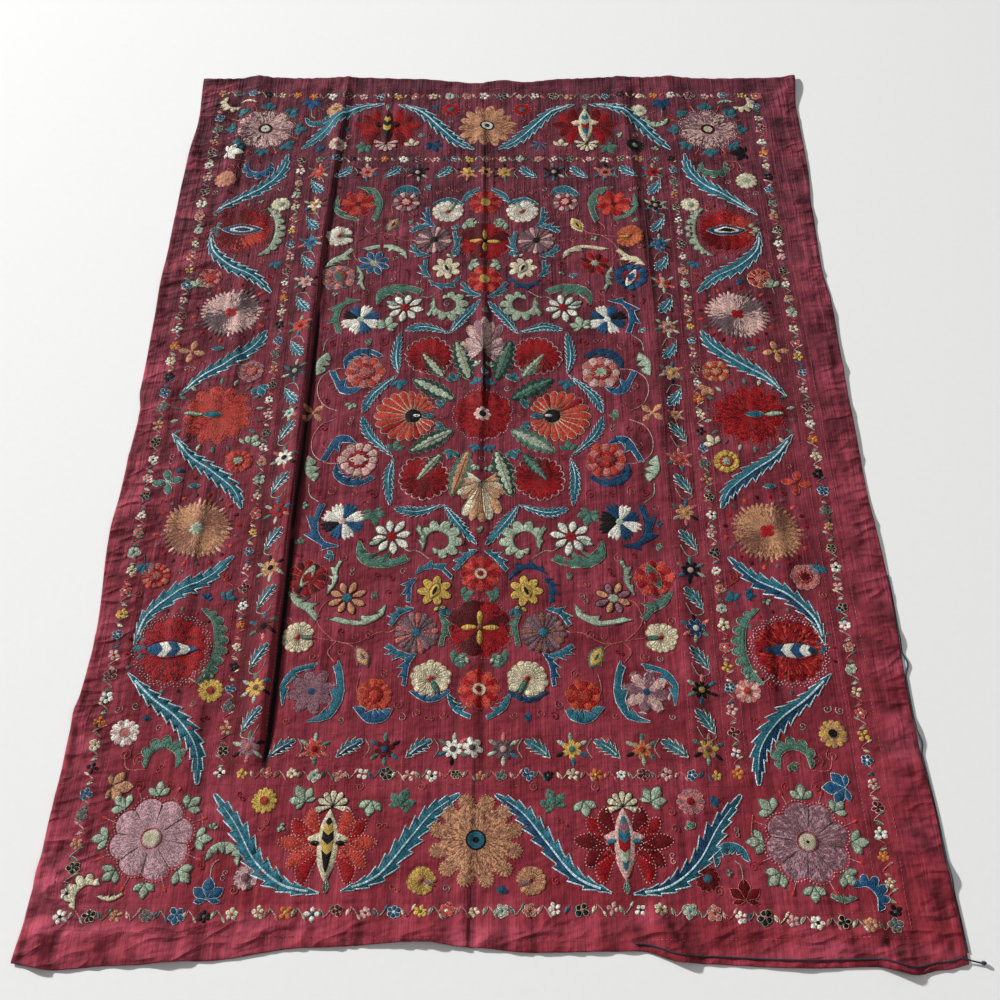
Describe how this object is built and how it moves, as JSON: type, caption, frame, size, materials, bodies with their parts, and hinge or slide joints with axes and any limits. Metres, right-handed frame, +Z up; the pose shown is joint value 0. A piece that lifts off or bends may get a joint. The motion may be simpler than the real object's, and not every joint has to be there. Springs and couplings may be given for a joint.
{
  "type": "embroidered bedspread",
  "caption": "Rectangular embroidered cotton bedspread lying spread on a flat surface, with storage folds, a turned hem and a narrow edging braid at one corner.",
  "frame": {"origin": "on the supporting surface, under the middle of the whole outline's box", "axes": "+X across the width to the side with the edging braid, +Y along the length from foot to head, +Z up, embroidered face up"},
  "size_m": [1.7575, 2.487, 0.0194],
  "materials": {
    "crimson_cloth": "hand-woven crimson cotton with chain stitch embroidery, matt",
    "edging_braid": "dark blue-green wool braid, matt"
  },
  "bodies": {
    "root": {"bedspread_cloth": "crimson_cloth", "edging_side": "edging_braid", "edging_foot": "edging_braid"}
  },
  "joints": []
}
